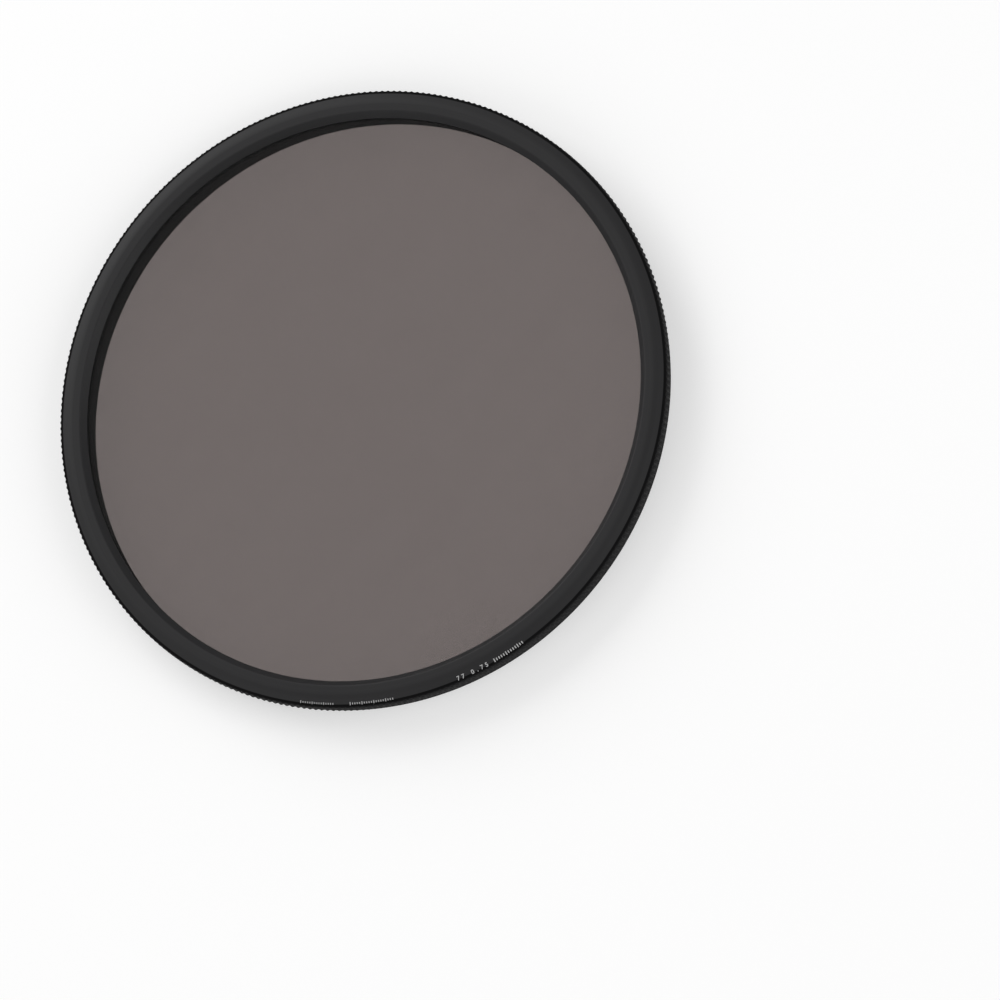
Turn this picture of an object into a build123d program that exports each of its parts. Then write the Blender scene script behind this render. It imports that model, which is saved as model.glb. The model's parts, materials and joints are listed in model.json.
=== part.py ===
from build123d import *
import math
import os

# Slim screw-in polarising lens filter with a rotating front ring, in millimetres.
# It lies on the rear end of its lens thread. The optical axis is +Z and the front face
# looks up. The origin is the centre of the rear end.

# Lens thread, plain at its major diameter
thread_diameter = 77.0
thread_pitch = 0.75
thread_length = 2.3

# Fixed mount ring
shoulder_width = 1.05
flange_height = 1.3
mount_wall = 1.2

# Knurled rotating ring
grip_overhang = 0.45
grip_height = 2.1
bevel_width = 1.2
bevel_drop = 0.5
knurl_count = 320
knurl_depth = 0.2
knurl_step = 0.03

# Front opening and the cell that holds the laminate
aperture_step = 0.4
lip_height = 0.8
opening_bevel = 0.75
glass_seat = 0.6
cell_wall = 0.65
cell_tail = 0.1

# Cemented laminate: two cover glasses and the film between them
cover_thickness = 0.6
film_thickness = 0.3
cement_line = 0.02

# Locking ring behind the laminate
retainer_height = 0.65
retainer_step = 0.1
notch_count = 2
notch_width = 1.6
notch_depth = 0.3

# Split square spring wire between the two rings
wire_size = 0.4
wire_split = 4.0

# Clearances
journal_clearance = 0.05
seam_gap = 0.1
floor_clearance = 0.1
wire_clearance = 0.04
glass_clearance = 0.05
retainer_clearance = 0.02

# Depth of a 60 degree male thread for its pitch
THREAD_DEPTH_PER_PITCH = 0.6134

# Radii, from the thread outwards to the grip and inwards to the light path
thread_radius = thread_diameter / 2
thread_depth = THREAD_DEPTH_PER_PITCH * thread_pitch
thread_root_radius = thread_radius - thread_depth
flange_radius = thread_radius + shoulder_width
grip_radius = flange_radius + grip_overhang
knurl_root_radius = grip_radius - knurl_depth
front_edge_radius = knurl_root_radius - knurl_step
mount_bore_radius = thread_root_radius - mount_wall
aperture_radius = mount_bore_radius - aperture_step
glass_radius = aperture_radius + glass_seat
cell_bore_radius = glass_radius + glass_clearance
cell_radius = cell_bore_radius + cell_wall
journal_radius = cell_radius + journal_clearance
retainer_bore_radius = aperture_radius + retainer_step
retainer_radius = cell_bore_radius - retainer_clearance

# Heights, from the rear end up to the front face and back down through the laminate
shoulder_z = thread_length
flange_top_z = shoulder_z + flange_height
grip_bottom_z = flange_top_z + seam_gap
front_z = grip_bottom_z + grip_height
front_glass_top_z = front_z - lip_height
front_glass_bottom_z = front_glass_top_z - cover_thickness
film_top_z = front_glass_bottom_z - cement_line
film_bottom_z = film_top_z - film_thickness
rear_glass_top_z = film_bottom_z - cement_line
rear_glass_bottom_z = rear_glass_top_z - cover_thickness
retainer_bottom_z = rear_glass_bottom_z - retainer_height
cell_bottom_z = retainer_bottom_z - cell_tail
floor_z = cell_bottom_z - floor_clearance

# Wire and the two grooves that share it
half_wire = wire_size / 2
wire_ring_radius = (cell_radius + journal_radius) / 2
wire_z = (cell_bottom_z + flange_top_z) / 2
groove_top_z = wire_z + half_wire + wire_clearance
groove_bottom_z = wire_z - half_wire - wire_clearance
outer_groove_radius = wire_ring_radius + half_wire + wire_clearance
neck_radius = wire_ring_radius - half_wire - wire_clearance


def turned(outline):
    """Turn a closed outline of (radius, height) points about the optical axis."""
    points = [(radius, 0, height) for radius, height in outline]
    section = make_face(Polyline(*points, close=True))
    return revolve(section, Axis.Z)


def polar(radius, degrees):
    """Point at a radius and angle in the plane of the filter."""
    angle = math.radians(degrees)
    return (radius * math.cos(angle), radius * math.sin(angle))


def sheet(bottom_z, top_z):
    """Round sheet of the laminate."""
    return turned([
        (0, bottom_z),
        (glass_radius, bottom_z),
        (glass_radius, top_z),
        (0, top_z),
    ])


def make_mount_ring():
    """Threaded rear ring with its flange, and the journal and wire groove of the front ring."""
    return turned([
        (mount_bore_radius, 0),
        (thread_radius, 0),
        (thread_radius, shoulder_z),
        (flange_radius, shoulder_z),
        (flange_radius, flange_top_z),
        (journal_radius, flange_top_z),
        (journal_radius, groove_top_z),
        (outer_groove_radius, groove_top_z),
        (outer_groove_radius, groove_bottom_z),
        (journal_radius, groove_bottom_z),
        (journal_radius, floor_z),
        (mount_bore_radius, floor_z),
    ])


def knurl_prism():
    """Straight prism of the knurl, with V grooves between sharp teeth."""
    pitch_angle = 360 / knurl_count
    points = []
    for tooth in range(knurl_count):
        points.append(polar(grip_radius, tooth * pitch_angle))
        points.append(polar(knurl_root_radius, (tooth + 0.5) * pitch_angle))
    outline = make_face(Polyline(*points, close=True))
    return extrude(outline, front_z)


def make_rotating_ring():
    """Front ring: knurled grip, sloped opening, glass lip, and the cell that turns in the mount."""
    blank = turned([
        (aperture_radius, front_glass_top_z),
        (cell_bore_radius, front_glass_top_z),
        (cell_bore_radius, cell_bottom_z),
        (cell_radius, cell_bottom_z),
        (cell_radius, groove_bottom_z),
        (neck_radius, groove_bottom_z),
        (neck_radius, grip_bottom_z),
        (grip_radius, grip_bottom_z),
        (grip_radius, front_z - bevel_drop),
        (front_edge_radius, front_z - bevel_drop),
        (front_edge_radius - bevel_width, front_z),
        (aperture_radius + opening_bevel, front_z),
    ])
    return blank & knurl_prism()


def make_glass_retainer():
    """Locking ring behind the laminate, with notches for a pin spanner."""
    ring = turned([
        (retainer_bore_radius, retainer_bottom_z),
        (retainer_radius, retainer_bottom_z),
        (retainer_radius, rear_glass_bottom_z),
        (retainer_bore_radius, rear_glass_bottom_z),
    ])
    notch_length = retainer_radius - retainer_bore_radius
    notch_middle = (retainer_radius + retainer_bore_radius) / 2
    notch = Box(2 * notch_length, notch_width, 2 * notch_depth)
    notches = PolarLocations(notch_middle, notch_count) * notch
    return ring - [Pos(0, 0, retainer_bottom_z) * one for one in notches]


def make_retaining_wire():
    """Square spring wire, split so that it can be squeezed into its groove."""
    split_angle = math.degrees(wire_split / wire_ring_radius)
    section = Plane.XZ * Pos(wire_ring_radius, wire_z) * Rectangle(wire_size, wire_size)
    return revolve(section, Axis.Z, 360 - split_angle)


nodes = {
    "mount_ring": make_mount_ring(),
    "retaining_wire": make_retaining_wire(),
    "rotating_ring": make_rotating_ring(),
    "front_glass": sheet(front_glass_bottom_z, front_glass_top_z),
    "polarising_film": sheet(film_bottom_z, film_top_z),
    "rear_glass": sheet(rear_glass_bottom_z, rear_glass_top_z),
    "glass_retainer": make_glass_retainer(),
}

os.makedirs("parts", exist_ok=True)
for name, shape in nodes.items():
    export_step(shape, f"parts/{name}.step")
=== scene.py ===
# %% [markdown]
# # A screw-in polarising lens filter
# The filter is a thin sandwich of glass and grey film in a black knurled ring, and that ring
# turns in a threaded ring which screws onto a lens. The sizes come from the loaded frame, so
# this lesson adds only what the eye wants to see: soft edges, a fine knurl, a real thread and
# surfaces that answer the light. All lengths below are in millimetres and become metres in the mesh.

# %% Load the frame
import json
import math

import bmesh
import bpy
from mathutils import Matrix, Vector


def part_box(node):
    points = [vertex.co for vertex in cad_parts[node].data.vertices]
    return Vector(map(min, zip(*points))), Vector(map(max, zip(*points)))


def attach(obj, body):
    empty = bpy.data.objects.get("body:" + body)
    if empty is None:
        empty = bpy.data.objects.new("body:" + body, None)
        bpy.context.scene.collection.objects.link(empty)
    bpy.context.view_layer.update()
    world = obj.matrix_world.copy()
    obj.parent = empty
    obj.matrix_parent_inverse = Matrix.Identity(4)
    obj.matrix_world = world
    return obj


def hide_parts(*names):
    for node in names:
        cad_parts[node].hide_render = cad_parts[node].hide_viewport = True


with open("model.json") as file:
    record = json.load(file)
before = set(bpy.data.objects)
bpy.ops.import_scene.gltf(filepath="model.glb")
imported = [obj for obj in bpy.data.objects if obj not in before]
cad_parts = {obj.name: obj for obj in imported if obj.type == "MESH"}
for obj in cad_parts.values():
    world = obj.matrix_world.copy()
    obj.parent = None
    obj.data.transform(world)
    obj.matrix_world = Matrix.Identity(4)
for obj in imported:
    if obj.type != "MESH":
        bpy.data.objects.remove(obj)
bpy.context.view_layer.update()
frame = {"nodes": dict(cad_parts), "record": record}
MM = 0.001
print("nodes:", sorted(frame["nodes"]))

# %% [markdown]
# ## Measuring the frame
# A turned piece is known by its radii and its heights. The box of a node gives its heights, and
# the distance of its vertices from the optical axis gives its smallest and largest radius, so no
# size that the frame already has needs to be typed again.


# %% Measure radii and heights
def radii(node):
    """Smallest and largest distance of a node's surface from the optical axis."""
    reach = [math.hypot(vertex.co.x, vertex.co.y) for vertex in frame["nodes"][node].data.vertices]
    return min(reach) / MM, max(reach) / MM


def heights(node):
    """Lowest and highest point of a node along the optical axis."""
    low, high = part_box(node)
    return low.z / MM, high.z / MM


mounts = {mount["name"]: mount for mount in frame["record"]["mounts"]}
thread_radius = mounts["lens_thread"]["dims"]["r_mm"]
thread_length = mounts["lens_thread"]["dims"]["length_mm"]
aperture_radius, grip_radius = radii("rotating_ring")
mount_bore_radius, flange_radius = radii("mount_ring")
wire_inner_radius, wire_outer_radius = radii("retaining_wire")
locking_bore_radius, locking_radius = radii("glass_retainer")
glass_radius = radii("front_glass")[1]
cell_bottom, front_face = heights("rotating_ring")
glass_front = heights("front_glass")[1]
flange_top = heights("mount_ring")[1]
wire_bottom, wire_top = heights("retaining_wire")
locking_bottom, locking_top = heights("glass_retainer")
print("grip radius", round(grip_radius, 2), "opening radius", round(aperture_radius, 2),
      "front face at", round(front_face, 2))

# %% [markdown]
# ## The camera
# The filter lies flat, and the camera looks down on it so that its axis leans 23 degrees from the
# line of sight, up and to the left. A long lens from two metres away keeps the view almost
# parallel. The camera aims beside the filter, because the filter sits in the upper left of the
# picture. Aiming through a constraint would work too, but three axes and an offset say more.

# %% Place the camera
PICTURE_PX = 1000
PX_PER_MM = 8.002
FACE_CENTRE_PX = (360.6, 396.8)
AXIS_TILT = math.radians(23.35)
LEAN_IN_PICTURE = math.radians(140.5)
CAMERA_DISTANCE = 2.0
SENSOR_WIDTH = 36.0

towards_camera = Vector((0, -math.sin(AXIS_TILT), math.cos(AXIS_TILT)))
lean = Vector((0, math.cos(AXIS_TILT), math.sin(AXIS_TILT)))
across = Vector((1, 0, 0))
picture_right = math.cos(LEAN_IN_PICTURE) * lean + math.sin(LEAN_IN_PICTURE) * across
picture_up = math.sin(LEAN_IN_PICTURE) * lean - math.cos(LEAN_IN_PICTURE) * across
face_centre = Vector((0, 0, front_face * MM))
px = MM / PX_PER_MM
aim = (face_centre + picture_right * (PICTURE_PX / 2 - FACE_CENTRE_PX[0]) * px
       - picture_up * (PICTURE_PX / 2 - FACE_CENTRE_PX[1]) * px)

bpy.ops.object.camera_add()
camera = bpy.context.active_object
camera.name = "camera"
camera.data.sensor_width = SENSOR_WIDTH
camera.data.lens = SENSOR_WIDTH * CAMERA_DISTANCE / (PICTURE_PX * px)
turn = Matrix((picture_right, picture_up, towards_camera)).transposed().to_4x4()
camera.matrix_world = Matrix.Translation(aim + towards_camera * CAMERA_DISTANCE) @ turn
bpy.context.scene.camera = camera
print("lens", round(camera.data.lens), "mm, aims at", [round(c / MM, 1) for c in aim])

# %% [markdown]
# ## Shader maths in Python
# A finish is a small network of nodes. Wrapping an output socket in a class with the arithmetic
# operators lets the maths read as a formula, and each operation adds its Math node. One method
# adds every other kind of node: settings first, then the values or links of its sockets.


# %% Wrap sockets and node trees
class Signal:
    """One output of a node tree, for use in Python expressions."""

    def __init__(self, nodes, socket):
        self.nodes = nodes
        self.socket = socket

    def combine(self, operation, first, second):
        """Add a Math node for two signals or numbers."""
        return self.nodes.add("Math", {"operation": operation}, {0: first, 1: second})

    def __add__(self, other):
        return self.combine("ADD", self, other)

    def __radd__(self, other):
        return self.combine("ADD", other, self)

    def __sub__(self, other):
        return self.combine("SUBTRACT", self, other)

    def __rsub__(self, other):
        return self.combine("SUBTRACT", other, self)

    def __mul__(self, other):
        return self.combine("MULTIPLY", self, other)

    def __rmul__(self, other):
        return self.combine("MULTIPLY", other, self)

    def __pow__(self, other):
        return self.combine("POWER", self, other)

    def most(self, other):
        """The larger of two signals."""
        return self.combine("MAXIMUM", self, other)


class Nodes:
    """A node tree that is emptied and filled again node by node."""

    def __init__(self, tree):
        self.tree = tree
        tree.nodes.clear()

    def find(self, sockets, key):
        """A socket by its number, or by its name among those in use."""
        if isinstance(key, int):
            return sockets[key]
        return next(socket for socket in sockets if socket.name == key and socket.enabled)

    def add(self, kind, settings=None, inputs=None, output=0):
        """Add a node, set and link it, and give back one of its outputs."""
        node = self.tree.nodes.new("ShaderNode" + kind)
        for name, value in (settings or {}).items():
            setattr(node, name, value)
        for key, value in (inputs or {}).items():
            socket = self.find(node.inputs, key)
            if isinstance(value, Signal):
                self.tree.links.new(value.socket, socket)
            else:
                socket.default_value = value
        return Signal(self, self.find(node.outputs, output)) if node.outputs else node


def new_finish(name):
    """An empty material and its nodes."""
    material = bpy.data.materials.new(name)
    material.use_nodes = True
    return material, Nodes(material.node_tree)


# %% [markdown]
# ## The table
# The filter lies on a plain white table. The table has two layers: a diffuse one that takes the
# soft shadow, and a glow that only the eye, mirrors and glass can see, which lifts the paper white
# without lighting the filter. Stronger lamps would whiten it too, but would wash out the black ring.

# %% Make the table
TABLE_SIZE = 12.0
TABLE_GAP = 0.02
TABLE_ALBEDO = (0.60, 0.60, 0.60, 1)
TABLE_GLOW = 0.475


def white_table():
    material, nodes = new_finish("white_table")
    seen = nodes.add("LightPath", output="Is Camera Ray")
    seen = seen.most(nodes.add("LightPath", output="Is Glossy Ray"))
    seen = seen.most(nodes.add("LightPath", output="Is Transmission Ray"))
    paper = nodes.add("BsdfDiffuse", inputs={"Color": TABLE_ALBEDO})
    glow = nodes.add("Emission", inputs={"Strength": seen * TABLE_GLOW})
    nodes.add("OutputMaterial", inputs={"Surface": nodes.add("AddShader", inputs={0: paper, 1: glow})})
    return material


bpy.ops.object.select_all(action="DESELECT")
bpy.ops.mesh.primitive_plane_add(size=TABLE_SIZE, location=(0, 0, -TABLE_GAP * MM))
table = bpy.context.active_object
table.name = "table"
table.data.materials.append(white_table())
print("table", TABLE_SIZE, "m wide")

# %% [markdown]
# ## Lamps and sky
# Black metal shows its form only by what it mirrors, so the lamps are large and soft. The key lamp
# hangs beyond the filter and draws the sheen on the bevel, a fill keeps the left side open, and a
# front lamp lights the near wall. An even sky lifts the rest, and looks white behind the table.

# %% Hang the lamps and the sky
SKY_STRENGTH = 0.42
LAMPS = {
    "key_lamp": {"towards": (0.05, 1.1, 0.75), "size": 0.9, "watts": 6.5},
    "fill_lamp": {"towards": (-0.95, -0.1, 0.7), "size": 0.9, "watts": 2.2},
    "front_lamp": {"towards": (0.45, -0.95, 0.75), "size": 0.9, "watts": 4.3},
}
LAMP_DISTANCE = 1.1

for name, lamp in LAMPS.items():
    direction = Vector(lamp["towards"]).normalized()
    bpy.ops.object.light_add(type="AREA", location=direction * LAMP_DISTANCE)
    light = bpy.context.active_object
    light.name = name
    light.rotation_euler = direction.to_track_quat("Z", "Y").to_euler()
    light.data.size = lamp["size"]
    light.data.energy = lamp["watts"]

world = bpy.data.worlds.new("studio")
bpy.context.scene.world = world
world.use_nodes = True
sky = Nodes(world.node_tree)
in_view = sky.add("LightPath", output="Is Camera Ray")
backdrop = sky.add("Background", inputs={"Strength": in_view * (1 - SKY_STRENGTH) + SKY_STRENGTH})
sky.add("OutputWorld", inputs={"Surface": backdrop})
bpy.context.scene.view_settings.view_transform = "Standard"
print("lamps:", list(LAMPS), "sky strength", SKY_STRENGTH)

# %% [markdown]
# ## Turning on a lathe
# Every ring of the filter is turned, so one helper stands for the lathe: a plane is merged to a
# single vertex, the vertex is extruded from point to point along the section, and the finished line
# is spun once round the optical axis. Extruding a circle step by step would do the same, but a
# section is easier to read. Picking vertices by their radius, angle and height then stands for the
# hand that selects them.

# %% The lathe and its helpers
WELD = 0.0005
NEAR = 0.002
SHARP_ANGLE = math.radians(35)


def start_line(name, first):
    """A new piece in edit mode that holds one vertex, at a (radius, height) point."""
    bpy.ops.object.select_all(action="DESELECT")
    bpy.ops.mesh.primitive_plane_add(size=MM)
    piece = bpy.context.active_object
    piece.name = name
    piece.data.name = name
    bpy.ops.object.mode_set(mode="EDIT")
    bpy.ops.mesh.select_mode(type="VERT")
    bpy.ops.mesh.select_all(action="SELECT")
    bpy.ops.mesh.merge(type="CENTER")
    bpy.ops.transform.translate(value=(first[0] * MM, 0, first[1] * MM))
    return piece


def trace(section):
    """Extrude the selected vertex along the section's (radius, height) points."""
    for (radius, height), (next_radius, next_height) in zip(section, section[1:]):
        step = ((next_radius - radius) * MM, 0, (next_height - height) * MM)
        bpy.ops.mesh.extrude_region_move(TRANSFORM_OT_translate={"value": step})


def weld():
    """Close the seams of the piece in edit mode and turn its faces outwards."""
    bpy.ops.mesh.select_all(action="SELECT")
    bpy.ops.mesh.remove_doubles(threshold=WELD * MM)
    bpy.ops.mesh.normals_make_consistent(inside=False)


def spin_line(columns):
    """Spin the traced line once round the optical axis."""
    bpy.ops.mesh.select_all(action="SELECT")
    bpy.ops.mesh.spin(steps=columns, angle=2 * math.pi, center=(0, 0, 0), axis=(0, 0, 1))
    weld()


def pick(piece, wanted):
    """Select the vertices whose (radius, angle, height) is wanted, and the edges between them."""
    bpy.ops.mesh.select_all(action="DESELECT")
    mesh = bmesh.from_edit_mesh(piece.data)
    for vertex in mesh.verts:
        x, y, z = vertex.co / MM
        vertex.select_set(bool(wanted(math.hypot(x, y), math.atan2(y, x), z)))
    mesh.select_flush(True)
    bmesh.update_edit_mesh(piece.data)


def at(radius, height):
    """A test for the loop of vertices at one radius and height."""
    return lambda r, angle, z: abs(r - radius) < NEAR and abs(z - height) < NEAR


def ease(piece, loops, width, segments=3):
    """Round the edge loops at the given (radius, height) points."""
    for radius, height in loops:
        pick(piece, at(radius, height))
        bpy.ops.mesh.bevel(offset=width * MM, segments=segments, affect="EDGES")


def finish_piece(piece, body, *nodes):
    """Leave edit mode, shade the piece, hang it on its body and say what was made."""
    bpy.ops.object.mode_set(mode="OBJECT")
    bpy.ops.object.shade_smooth_by_angle(angle=SHARP_ANGLE)
    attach(piece, body)
    if nodes:
        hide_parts(*nodes)
    mesh = bmesh.new()
    mesh.from_mesh(piece.data)
    triangles = len(mesh.calc_loop_triangles())
    open_edges = sum(not edge.is_manifold for edge in mesh.edges)
    mesh.free()
    print(piece.name, "has", triangles, "triangles and", open_edges, "open edges")
    return piece


# %% [markdown]
# ## The knurled front ring
# This is the ring that the fingers turn. It is one turned piece: a flat front face, a bevel on each
# side of it, a knurled grip and, hidden below, the thin cell that holds the glass. Six columns of
# vertices go to each tooth, so that the knurl can be pressed in afterwards by scaling columns
# towards the axis. A boolean with 320 cutters would give the same teeth with a far worse mesh.

# %% Turn the front ring
GRIP_HEIGHT = 2.1
BEVEL_WIDTH = 1.2
BEVEL_DROP = 0.5
OPENING_BEVEL = 0.75
KNURL_DEPTH = 0.2
KNURL_STEP = 0.03
KNURL_TEETH = 320
TOOTH_RUNOUT = 0.1
GLASS_CLEARANCE = 0.05
CELL_WALL = 0.65
WIRE_CLEARANCE = 0.04
LIP_LAND = 0.06
EDGE_EASE = 0.07
FACE_EASE = 0.45
OPENING_EASE = 0.1
SUPPORT = 0.06

TOOTH_FORM = (0.86, 0.68, 0.32, 0.12, 0.32, 0.68)
columns = KNURL_TEETH * len(TOOTH_FORM)
knurl_root_radius = grip_radius - KNURL_DEPTH
front_edge_radius = knurl_root_radius - KNURL_STEP
grip_bottom = front_face - GRIP_HEIGHT
grip_top = front_face - BEVEL_DROP
face_outer_radius = front_edge_radius - BEVEL_WIDTH
face_inner_radius = aperture_radius + OPENING_BEVEL
cell_bore_radius = glass_radius + GLASS_CLEARANCE
cell_radius = cell_bore_radius + CELL_WALL
neck_radius = wire_inner_radius - WIRE_CLEARANCE
ledge_top = wire_bottom - WIRE_CLEARANCE


def between(start, end, start_ease, end_ease):
    """Two points of a straight run just past the eased edges at its ends, which keep it flat."""
    along = (Vector(end) - Vector(start)).normalized()
    return [tuple(Vector(start) + along * (start_ease + SUPPORT)),
            tuple(Vector(end) - along * (end_ease + SUPPORT))]


outer_edge = (front_edge_radius, grip_top)
face_edge = (face_outer_radius, front_face)
opening_edge = (face_inner_radius, front_face)
lip_edge = (aperture_radius, glass_front + LIP_LAND)
front_section = [
    (aperture_radius, glass_front),
    (cell_bore_radius, glass_front),
    (cell_bore_radius, cell_bottom),
    (cell_radius, cell_bottom),
    (cell_radius, ledge_top),
    (neck_radius, ledge_top),
    (neck_radius, grip_bottom),
    (knurl_root_radius, grip_bottom),
    (grip_radius, grip_bottom + TOOTH_RUNOUT),
    (grip_radius, grip_top - TOOTH_RUNOUT),
    (knurl_root_radius, grip_top),
    outer_edge,
    *between(outer_edge, face_edge, EDGE_EASE, FACE_EASE),
    face_edge,
    *between(face_edge, opening_edge, FACE_EASE, OPENING_EASE),
    opening_edge,
    *between(opening_edge, lip_edge, OPENING_EASE, EDGE_EASE),
    lip_edge,
    (aperture_radius, glass_front),
]
front_ring = start_line("front_ring", front_section[0])
trace(front_section)
spin_line(columns)
print("front ring turned with", columns, "columns")

# %% [markdown]
# ## Knurl and soft edges
# A knurl is rolled into the grip. Every column of a tooth is picked by its angle and scaled towards
# the axis to its share of the depth, so all 320 teeth are pressed in six strokes. Then the edges of
# the bevels are rounded, because on black metal a soft edge is what the eye follows.

# %% Press the knurl and ease the edges
for phase, share in enumerate(TOOTH_FORM):
    def in_phase(r, angle, z):
        column = round(angle / (2 * math.pi) * columns) % len(TOOTH_FORM)
        return column == phase and r > knurl_root_radius + KNURL_DEPTH / 2

    pick(front_ring, in_phase)
    size = (knurl_root_radius + share * KNURL_DEPTH) / grip_radius
    bpy.ops.transform.resize(value=(size, size, 1), center_override=(0, 0, 0))

ease(front_ring, [outer_edge], EDGE_EASE)
ease(front_ring, [face_edge], FACE_EASE, segments=6)
ease(front_ring, [opening_edge], OPENING_EASE)
finish_piece(front_ring, "rotor", "rotating_ring")

# %% [markdown]
# ## The threaded rear ring
# The rear ring stays still on the lens. Its thread climbs 0.75 mm in a turn. The Screw modifier
# sweeps the thread's zigzag through one turn and one pitch, so the end of the sweep meets its own
# start. Stacked rings would be easier, but a thread that doesn't climb looks wrong from the side.

# %% Sweep the thread
THREAD_PITCH = 0.75
THREAD_DEPTH = 0.46
CREST_FLAT = THREAD_PITCH / 8
ROOT_FLAT = THREAD_PITCH / 4
LEAD_IN = 0.3
RELIEF = 0.35
RING_COLUMNS = 480

thread_root_radius = thread_radius - THREAD_DEPTH
flank = (THREAD_PITCH - CREST_FLAT - ROOT_FLAT) / 2
thread_top = thread_length - RELIEF
zigzag = []
for ridge in range(-2, math.ceil(thread_length / THREAD_PITCH) + 1):
    foot = ridge * THREAD_PITCH
    zigzag += [
        (thread_root_radius, foot),
        (thread_root_radius, foot + ROOT_FLAT),
        (thread_radius, foot + ROOT_FLAT + flank),
        (thread_radius, foot + ROOT_FLAT + flank + CREST_FLAT),
    ]

threaded_ring = start_line("threaded_ring", zigzag[0])
trace(zigzag)
bpy.ops.object.mode_set(mode="OBJECT")
sweep = threaded_ring.modifiers.new("sweep", "SCREW")
sweep.axis = "Z"
sweep.angle = 2 * math.pi
sweep.screw_offset = THREAD_PITCH * MM
sweep.steps = RING_COLUMNS
sweep.render_steps = RING_COLUMNS
bpy.ops.object.modifier_apply(modifier=sweep.name)
bpy.ops.object.mode_set(mode="EDIT")
weld()
print("thread swept over", len(zigzag) // 4, "ridges")

# %% [markdown]
# ## The ends of the thread
# A thread begins and ends on a small cone, so that it finds its way into the lens. Two bisects trim
# the band to its height, the end loops are pressed in to the root, and the crests near them go step
# by step to the cone. A boolean with a turned cone would cut the same shape, but leaves slivers.

# %% Trim the thread
LEAD_IN_STEPS = 12


def trim(height, **side):
    """Bisect the thread band at a height and clear one side of it."""
    bpy.ops.mesh.select_all(action="SELECT")
    bpy.ops.mesh.bisect(plane_co=(0, 0, height * MM), plane_no=(0, 0, 1), threshold=WELD * MM, **side)


def press_to_root(height):
    """Round the loop at one height to a circle and press it in to the thread's root."""
    centre = (0, 0, height * MM)
    pick(threaded_ring, lambda r, angle, z: abs(z - height) < WELD)
    bpy.ops.transform.tosphere(value=1.0, center_override=centre)
    mesh = bmesh.from_edit_mesh(threaded_ring.data)
    reach = next(vertex.co.xy.length for vertex in mesh.verts if vertex.select)
    size = thread_root_radius * MM / reach
    bpy.ops.transform.resize(value=(size, size, 1), center_override=centre)


def fade(end_height, inwards):
    """Press the crests near one end of the thread in to a cone that meets the root."""
    rise = LEAD_IN / LEAD_IN_STEPS
    for step in range(LEAD_IN_STEPS):
        def on_crest(r, angle, z):
            return r > thread_radius - WELD and step <= (z - end_height) * inwards / rise < step + 1

        pick(threaded_ring, on_crest)
        cone_radius = thread_root_radius + THREAD_DEPTH * (step + 0.5) / LEAD_IN_STEPS
        size = cone_radius / thread_radius
        bpy.ops.transform.resize(value=(size, size, 1), center_override=(0, 0, 0))


trim(0, clear_inner=True)
trim(thread_top, clear_outer=True)
press_to_root(0)
press_to_root(thread_top)
fade(0, 1)
fade(thread_top, -1)
print("thread runs from 0 to", round(thread_top, 2), "mm")

# %% [markdown]
# ## The body of the rear ring
# The rest of the rear ring is turned like the front ring: a bore that lets the light through, the
# floor and journal in which the front ring turns, the groove of the spring wire, and the flange. It
# stops short of the thread at both ends, and two bridges close the gaps.

# %% Turn the body and bridge it to the thread
JOURNAL_CLEARANCE = 0.05
FLOOR_CLEARANCE = 0.1
BRIDGE = 0.08
FLANGE_EASE = 0.12
BORE_CHAMFER = 0.2

journal_radius = cell_radius + JOURNAL_CLEARANCE
groove_radius = wire_outer_radius + WIRE_CLEARANCE
groove_top = wire_top + WIRE_CLEARANCE
floor_height = cell_bottom - FLOOR_CLEARANCE
body_section = [
    (thread_root_radius - BRIDGE, 0),
    (mount_bore_radius, 0),
    (mount_bore_radius, floor_height),
    (journal_radius, floor_height),
    (journal_radius, ledge_top),
    (groove_radius, ledge_top),
    (groove_radius, groove_top),
    (journal_radius, groove_top),
    (journal_radius, flange_top),
    (flange_radius, flange_top),
    (flange_radius, thread_length),
    (thread_root_radius, thread_length),
    (thread_root_radius, thread_top + BRIDGE),
]
bpy.ops.object.mode_set(mode="OBJECT")
ring_body = start_line("ring_body", body_section[0])
trace(body_section)
spin_line(RING_COLUMNS)
ease(ring_body, [(flange_radius, flange_top), (flange_radius, thread_length)], FLANGE_EASE)
ease(ring_body, [(journal_radius, flange_top)], EDGE_EASE)
ease(ring_body, [(mount_bore_radius, 0)], BORE_CHAMFER, segments=1)
bpy.ops.object.mode_set(mode="OBJECT")
threaded_ring.select_set(True)
bpy.context.view_layer.objects.active = threaded_ring
bpy.ops.object.join()
bpy.ops.object.mode_set(mode="EDIT")
for low, high in ((0, 0), (thread_top, thread_top + BRIDGE)):
    def on_rim(r, angle, z):
        near_thread = thread_root_radius - BRIDGE - WELD < r < thread_root_radius + WELD
        return near_thread and (abs(z - low) < WELD or abs(z - high) < WELD)

    pick(threaded_ring, on_rim)
    bpy.ops.mesh.bridge_edge_loops()
weld()
finish_piece(threaded_ring, "mount", "mount_ring")

# %% [markdown]
# ## The locking ring
# A thin ring screws in behind the glass and holds it. Two notches take the pins of a spanner. The
# ring is turned, and a boolean with one cutter per notch is the quickest way to a square slot.

# %% Turn the locking ring and cut its notches
NOTCH_COUNT = 2
NOTCH_WIDTH = 1.6
NOTCH_DEPTH = 0.3
LOCKING_EASE = 0.05

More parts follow.
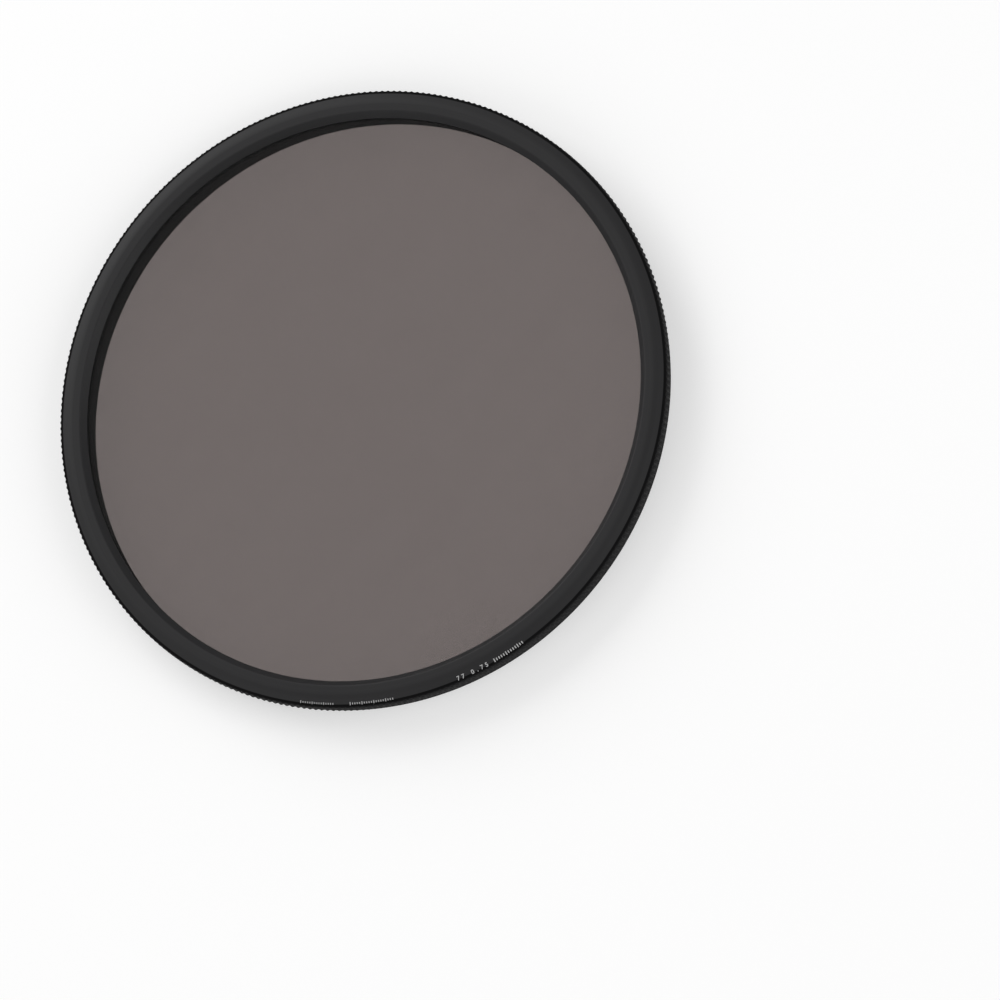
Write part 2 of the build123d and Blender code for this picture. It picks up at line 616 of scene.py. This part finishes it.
locking_section = [
    (locking_bore_radius, locking_bottom),
    (locking_radius, locking_bottom),
    (locking_radius, locking_top),
    (locking_bore_radius, locking_top),
    (locking_bore_radius, locking_bottom),
]
locking_ring = start_line("locking_ring", locking_section[0])
trace(locking_section)
spin_line(RING_COLUMNS)
locking_edges = [(locking_bore_radius, locking_bottom), (locking_bore_radius, locking_top)]
ease(locking_ring, locking_edges, LOCKING_EASE, segments=2)
bpy.ops.object.mode_set(mode="OBJECT")
notch_radius = (locking_bore_radius + locking_radius) / 2
notch_size = (2 * (locking_radius - locking_bore_radius), NOTCH_WIDTH, 2 * NOTCH_DEPTH)
for notch in range(NOTCH_COUNT):
    angle = notch * 2 * math.pi / NOTCH_COUNT
    centre = Vector((notch_radius * math.cos(angle), notch_radius * math.sin(angle), locking_bottom))
    bpy.ops.object.select_all(action="DESELECT")
    bpy.ops.mesh.primitive_cube_add(
        size=MM, location=centre * MM, rotation=(0, 0, angle), scale=notch_size)
    cutter = bpy.context.active_object
    cut = locking_ring.modifiers.new("notch", "BOOLEAN")
    cut.object = cutter
    bpy.context.view_layer.objects.active = locking_ring
    bpy.ops.object.modifier_apply(modifier=cut.name)
    bpy.data.objects.remove(cutter)
locking_ring.select_set(True)
bpy.ops.object.mode_set(mode="EDIT")
finish_piece(locking_ring, "rotor", "glass_retainer")

# %% [markdown]
# ## White marks on the bevel
# The front bevel carries small white print. Here it is three rows of strokes, as on a dial, and the
# size of the thread in plain numbers. One stroke is made and copied. Each mark lies on the slope of
# the bevel, a hair above the metal, with its foot towards the rim. A texture could carry the print
# too, but would blur close up.

# %% Lay out the strokes
INK_LIFT = 0.012
MARK_INSET = 0.33
LONG_EVERY = 5
STROKE_ROWS = (
    {"from": 248.2, "to": 254.2, "count": 13, "width": 0.13, "long": 0.48, "short": 0.34},
    {"from": 219.9, "to": 228.0, "count": 19, "width": 0.10, "long": 0.40, "short": 0.24},
    {"from": 210.4, "to": 216.6, "count": 15, "width": 0.09, "long": 0.34, "short": 0.22},
)
bevel_slope = math.atan2(BEVEL_DROP, BEVEL_WIDTH)
mark_radius = front_edge_radius - MARK_INSET
mark_height = grip_top + MARK_INSET * math.tan(bevel_slope)
marks = []


def lay(mark, degrees):
    """Lay a flat mark on the bevel at an angle, and move its place into its mesh."""
    turn_round = math.radians(degrees + 90)
    reach = (mark_radius + INK_LIFT * math.sin(bevel_slope)) * MM
    height = (mark_height + INK_LIFT * math.cos(bevel_slope)) * MM
    mark.location = (reach * math.sin(turn_round), -reach * math.cos(turn_round), height)
    mark.rotation_euler = (bevel_slope, 0, turn_round)
    bpy.ops.object.transform_apply(location=True, rotation=True, scale=True)
    marks.append(mark)


bpy.ops.object.select_all(action="DESELECT")
bpy.ops.mesh.primitive_plane_add(size=MM)
stroke = bpy.context.active_object
for row in STROKE_ROWS:
    step = (row["to"] - row["from"]) / (row["count"] - 1)
    for number in range(row["count"]):
        bpy.ops.object.select_all(action="DESELECT")
        stroke.select_set(True)
        bpy.context.view_layer.objects.active = stroke
        bpy.ops.object.duplicate()
        copy = bpy.context.active_object
        copy.scale = (row["width"], row["short"] if number % LONG_EVERY else row["long"], 1)
        lay(copy, row["from"] + number * step)
bpy.data.objects.remove(stroke)
print("strokes:", len(marks))

# %% [markdown]
# ## Numbers and ink
# A digit is text that is made a mesh, and each one gets a place of its own, so that the row follows
# the curve of the ring. Real ink is a film, so Solidify gives the joined print its thickness.

# %% Set the numbers and join the print
NUMBERS = f"{2 * thread_radius:.0f} {THREAD_PITCH}"
NUMBERS_FROM = 240.8
DIGIT_HEIGHT = 0.78
DIGIT_PITCH = 0.66
DIGIT_BOLDNESS = 0.012

for place, digit in enumerate(NUMBERS):
    if digit == " ":
        continue
    bpy.ops.object.select_all(action="DESELECT")
    bpy.ops.object.text_add()
    figure = bpy.context.active_object
    figure.data.body = digit
    figure.data.size = DIGIT_HEIGHT * MM
    figure.data.offset = DIGIT_BOLDNESS * MM
    figure.data.align_x = "CENTER"
    figure.data.align_y = "CENTER"
    bpy.ops.object.convert(target="MESH")
    lay(figure, NUMBERS_FROM + math.degrees(place * DIGIT_PITCH / mark_radius))

bpy.ops.object.select_all(action="DESELECT")
for mark in marks:
    mark.select_set(True)
white_print = marks[0]
white_print.name = "white_print"
white_print.data.name = "white_print"
bpy.context.view_layer.objects.active = white_print
bpy.ops.object.join()
thick = white_print.modifiers.new("ink", "SOLIDIFY")
thick.thickness = INK_LIFT * MM
thick.offset = -1
bpy.ops.object.modifier_apply(modifier=thick.name)
bpy.ops.object.mode_set(mode="EDIT")
finish_piece(white_print, "rotor")

# %% [markdown]
# ## Black anodised aluminium
# Anodising dyes a thin oxide skin, so the ring looks like dark ceramic rather than bare metal: a
# near-black colour with a soft gloss. The lathe leaves fine lines that follow the section. Radius
# plus height runs along faces, walls and bevels alike, so noise on that one number draws the lines
# everywhere. A second noise gives the grain of the oxide, a third a slow change in gloss. The face
# is satin. The rim is a near-black line of painted shade along the outer edge, and the knurl and the
# outside of the rear ring are darker, also as painted shade. The bore is matt so that it throws no
# stray light: each finish is a row of skins that follow each other from the axis outwards.

# %% Anodised finish
SATIN = {"colour": (0.0212, 0.0208, 0.0218, 1), "rough": 0.50, "shine": 0.23}
# the rim skin is a painted shade: a near-black line along the outer edge of the bevel, standing in for
# the shade at the ring's outline
PAINTED_SHADE_RIM = {"colour": (0.0030, 0.0030, 0.0032, 1), "rough": 0.70, "shine": 0.08}
# the grip skin is darker than the face as painted shade on the knurl and on the outside of the rear
# ring; its roughness and gloss are the metal's own
GRIP_WITH_PAINTED_SHADE = {"colour": (0.0120, 0.0118, 0.0123, 1), "rough": 0.60, "shine": 0.06}
MATT = {"colour": (0.0040, 0.0040, 0.0043, 1), "rough": 0.80, "shine": 0.08}
PAINTED_SHADE_RIM_WIDTH = 0.27
BORE_WALL = 0.7
BLEND = 0.05
LATHE_LINES_PER_MM = 9.0
LATHE_LINE_DEPTH = 0.004
GRAIN_PER_M = 14000.0
PATCHES_PER_M = 90.0
LEAST_TONE = 0.75
LINE_CONTRAST = 0.35
PATCH_CONTRAST = 0.15
GLOSS_CHANGE = 0.10
RELIEF_STRENGTH = 0.25


def black_anodised(name, skins, borders):
    """Black finish whose skins change at the border radii."""
    material, nodes = new_finish(name)
    place = nodes.add("TexCoord", output="Object")
    x = nodes.add("SeparateXYZ", inputs={0: place}, output="X")
    y = nodes.add("SeparateXYZ", inputs={0: place}, output="Y")
    z = nodes.add("SeparateXYZ", inputs={0: place}, output="Z")
    radius = (x * x + y * y) ** 0.5
    along_section = (radius + z) * (1 / MM)
    lines = nodes.add("TexNoise", {"noise_dimensions": "1D"},
                      {"W": along_section, "Scale": LATHE_LINES_PER_MM, "Detail": 4.0})
    grain = nodes.add("TexNoise", inputs={"Vector": place, "Scale": GRAIN_PER_M, "Detail": 2.0})
    patches = nodes.add("TexNoise", inputs={"Vector": place, "Scale": PATCHES_PER_M, "Detail": 3.0})
    tone = LEAST_TONE + LINE_CONTRAST * lines + PATCH_CONTRAST * patches
    shade = nodes.add("CombineColor", inputs={0: tone, 1: tone, 2: tone})
    relief = nodes.add("Bump", inputs={
        "Strength": RELIEF_STRENGTH, "Distance": LATHE_LINE_DEPTH * MM,
        "Height": lines + 0.5 * grain})
    layers = []
    for skin in skins:
        dark = nodes.add("Mix", {"data_type": "RGBA", "blend_type": "MULTIPLY"},
                         {"Factor": 1.0, "A": skin["colour"], "B": shade}, "Result")
        rough = skin["rough"] + GLOSS_CHANGE * (lines - 0.5) + GLOSS_CHANGE * (patches - 0.5)
        layers.append(nodes.add("BsdfPrincipled", inputs={
            "Base Color": dark, "Roughness": rough, "Normal": relief,
            "Specular IOR Level": skin["shine"]}))
    surface = layers[0]
    for border, layer in zip(borders, layers[1:]):
        beyond = nodes.add("MapRange", inputs={
            "Value": radius, "From Min": border * MM, "From Max": (border + BLEND) * MM})
        surface = nodes.add("MixShader", inputs={0: beyond, 1: surface, 2: layer})
    nodes.add("OutputMaterial", inputs={"Surface": surface})
    return material


front_borders = [front_edge_radius - PAINTED_SHADE_RIM_WIDTH, knurl_root_radius]
rear_borders = [mount_bore_radius + BORE_WALL]
front_black = black_anodised("satin_black", [SATIN, PAINTED_SHADE_RIM, GRIP_WITH_PAINTED_SHADE], front_borders)
rear_black = black_anodised("deep_black", [MATT, GRIP_WITH_PAINTED_SHADE], rear_borders)
print("finishes:", front_black.name, rear_black.name)

# %% [markdown]
# ## Glass and film
# The cover glass bends what lies behind it. Its coating takes away nearly every mirror image, and
# what the eye sees on it is a thin haze of dust in slow clouds, with a painted reflection of the sky
# on top: a white diffuse veil that grows stronger at a flat angle. Lamps reach the table through
# the glass by a Transparent shader, which a Light Path switch puts in for shadow and diffuse rays.
# The film is what makes the filter grey: each of its two faces passes about half of the light, a
# touch more of the red than of the blue. The film is stretched when it is made, so a noise that is
# long in one direction blends two close greys to faint streaks. Mixing clear and black would look
# the same, but with far more noise in the picture.

# %% Clear finishes
CLEAR = (0.988, 0.988, 0.985, 1)
GLASS_IOR = 1.5
PAINTED_SHEEN = 0.2
DUST_AND_SHEEN_WHITE = (0.80, 0.80, 0.80, 1)
CLOUDS_PER_M = 120.0
CLOUD_STRENGTH = 0.006
LIGHT_GREY = (0.543, 0.508, 0.503, 1)
DARK_GREY = (0.528, 0.493, 0.489, 1)
STREAKS_PER_M = (40.0, 600.0, 40.0)


def coated_glass():
    material, nodes = new_finish("coated_glass")
    lamp_ray = nodes.add("LightPath", output="Is Shadow Ray")
    lamp_ray = lamp_ray.most(nodes.add("LightPath", output="Is Diffuse Ray"))
    bend = nodes.add("BsdfRefraction", inputs={"Color": CLEAR, "Roughness": 0.0, "IOR": GLASS_IOR})
    clear = nodes.add("BsdfTransparent", inputs={"Color": CLEAR})
    pane = nodes.add("MixShader", inputs={0: lamp_ray, 1: bend, 2: clear})
    place = nodes.add("TexCoord", output="Object")
    clouds = nodes.add("TexNoise", inputs={"Vector": place, "Scale": CLOUDS_PER_M, "Detail": 3.0})
    # the clouds are dust; the Fresnel share is a painted reflection of the sky, a white veil that
    # grows at flat angles in place of a mirror
    dust_and_sheen_share = PAINTED_SHEEN * nodes.add("Fresnel", inputs={"IOR": GLASS_IOR}) + CLOUD_STRENGTH * clouds
    dust_and_sheen = nodes.add("BsdfDiffuse", inputs={"Color": DUST_AND_SHEEN_WHITE})
    surface = nodes.add("MixShader", inputs={0: dust_and_sheen_share, 1: pane, 2: dust_and_sheen})
    nodes.add("OutputMaterial", inputs={"Surface": surface})
    return material


def grey_film():
    material, nodes = new_finish("grey_film")
    place = nodes.add("TexCoord", output="Object")
    drawn_out = nodes.add("Mapping", inputs={"Vector": place, "Scale": STREAKS_PER_M})
    streaks = nodes.add("TexNoise", inputs={"Vector": drawn_out, "Scale": 1.0, "Detail": 3.0})
    pale = nodes.add("BsdfTransparent", inputs={"Color": LIGHT_GREY})
    dark = nodes.add("BsdfTransparent", inputs={"Color": DARK_GREY})
    surface = nodes.add("MixShader", inputs={0: streaks, 1: pale, 2: dark})
    nodes.add("OutputMaterial", inputs={"Surface": surface})
    return material


glass = coated_glass()
film = grey_film()
print("clear finishes:", glass.name, film.name)

# %% [markdown]
# ## Ink and wire
# The print is matt white ink, a little thin in places. The spring wire is drawn steel and hides
# between the rings, so a plain bright metal with drawing lines is enough.

# %% Ink and wire finishes
SPECKS_PER_M = 9000.0
LEAST_INK = 0.40
INK_CONTRAST = 0.2
DRAWING_LINES_PER_MM = 40.0
STEEL = (0.56, 0.57, 0.58, 1)
LEAST_ROUGH = 0.22
DRAWING_CONTRAST = 0.2


def white_ink():
    material, nodes = new_finish("white_ink")
    place = nodes.add("TexCoord", output="Object")
    thin = nodes.add("TexNoise", inputs={"Vector": place, "Scale": SPECKS_PER_M, "Detail": 2.0})
    shade = LEAST_INK + INK_CONTRAST * thin
    white = nodes.add("CombineColor", inputs={0: shade, 1: shade, 2: shade})
    surface = nodes.add("BsdfPrincipled", inputs={"Base Color": white, "Roughness": 0.55})
    nodes.add("OutputMaterial", inputs={"Surface": surface})
    return material


def drawn_steel():
    material, nodes = new_finish("drawn_steel")
    place = nodes.add("TexCoord", output="Object")
    z = nodes.add("SeparateXYZ", inputs={0: place}, output="Z")
    lines = nodes.add("TexNoise", {"noise_dimensions": "1D"},
                      {"W": z * (1 / MM), "Scale": DRAWING_LINES_PER_MM, "Detail": 2.0})
    rough = LEAST_ROUGH + DRAWING_CONTRAST * lines
    surface = nodes.add("BsdfPrincipled", inputs={
        "Base Color": STEEL, "Metallic": 1.0, "Roughness": rough})
    nodes.add("OutputMaterial", inputs={"Surface": surface})
    return material


ink = white_ink()
steel = drawn_steel()
print("small finishes:", ink.name, steel.name)

# %% [markdown]
# ## Dressing the pieces
# Each piece gets its finish. The table also names the slot of the record that the finish stands for,
# which the loop leaves unused.

# %% Give every piece its finish
nodes_by_name = frame["nodes"]
DRESS = [
    (front_ring, front_black, "black_anodised"),
    (threaded_ring, rear_black, "black_anodised"),
    (locking_ring, rear_black, "black_anodised"),
    (white_print, ink, None),
    (nodes_by_name["front_glass"], glass, "cover_glass"),
    (nodes_by_name["rear_glass"], glass, "cover_glass"),
    (nodes_by_name["polarising_film"], film, "polarising_sheet"),
    (nodes_by_name["retaining_wire"], steel, "spring_steel"),
]
for piece, material, slot in DRESS:
    piece.data.materials.clear()
    piece.data.materials.append(material)
print("dressed", len(DRESS), "pieces")
